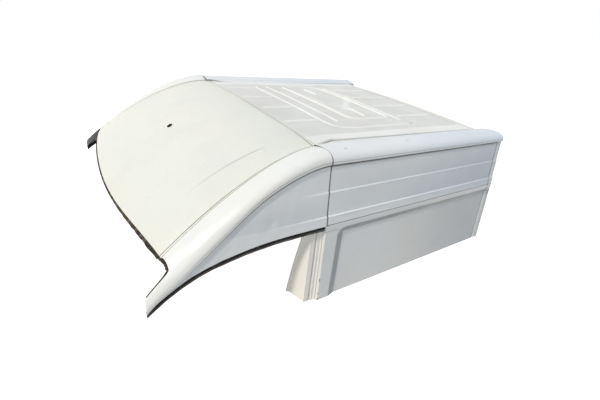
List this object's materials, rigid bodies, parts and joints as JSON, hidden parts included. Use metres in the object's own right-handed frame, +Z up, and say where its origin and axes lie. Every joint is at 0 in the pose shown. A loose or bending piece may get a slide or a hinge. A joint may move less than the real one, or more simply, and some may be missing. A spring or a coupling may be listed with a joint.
{
  "type": "van high top roof",
  "caption": "Cut-off high roof of a panel van: domed cab front, pressed flat roof, rounded rails, stepped side panels and the stubs of its pillars.",
  "frame": {"origin": "middle of the footprint box, in the plane of the bottom cut", "axes": "+X to the front, +Y to the vehicle's left side, +Z up"},
  "size_m": [2.327, 1.908, 0.7779],
  "materials": {
    "outer_paint": "aged warm white gloss with dust",
    "side_paint": "aged white gloss, seen in cool shade",
    "roof_paint": "dusty warm white",
    "pillar_paint": "cream white gloss",
    "inner_primer": "thin factory primer, dull",
    "door_rubber": "weathered black",
    "glass_adhesive": "cut black adhesive with rust dust",
    "joint_sealer": "dark joint filler"
  },
  "bodies": {
    "root": {"front_dome": "outer_paint", "dome_strip_left": "outer_paint", "dome_strip_right": "outer_paint", "front_rail_left": "outer_paint", "front_rail_right": "outer_paint", "roof_seam_strip": "outer_paint", "roof_ditch_left": "outer_paint", "roof_ditch_right": "outer_paint", "rear_rail_left": "outer_paint", "rear_rail_right": "outer_paint", "rear_header": "outer_paint", "front_side_panel_left": "side_paint", "front_side_panel_right": "side_paint", "upper_side_panel_left": "side_paint", "upper_side_panel_right": "side_paint", "lower_side_panel_left": "side_paint", "lower_side_panel_right": "side_paint", "rear_corner_left": "side_paint", "rear_corner_right": "side_paint", "roof_panel": "roof_paint", "door_pillar_left": "pillar_paint", "door_pillar_right": "pillar_paint", "door_header_left": "inner_primer", "door_header_right": "inner_primer", "pillar_inner_left": "inner_primer", "pillar_inner_right": "inner_primer", "windscreen_header": "inner_primer", "inner_rail_left": "inner_primer", "inner_rail_right": "inner_primer", "side_post_left": "inner_primer", "side_post_right": "inner_primer", "rear_pillar_left": "inner_primer", "rear_pillar_right": "inner_primer", "door_pillar_inner_left": "inner_primer", "door_pillar_inner_right": "inner_primer", "roof_bow_front": "inner_primer", "roof_bow_middle": "inner_primer", "roof_bow_rear": "inner_primer", "door_seal_left": "door_rubber", "door_seal_right": "door_rubber", "windscreen_seal": "glass_adhesive", "pillar_bead_left": "glass_adhesive", "pillar_bead_right": "glass_adhesive", "side_seam_left": "joint_sealer", "side_seam_right": "joint_sealer"}
  },
  "joints": []
}
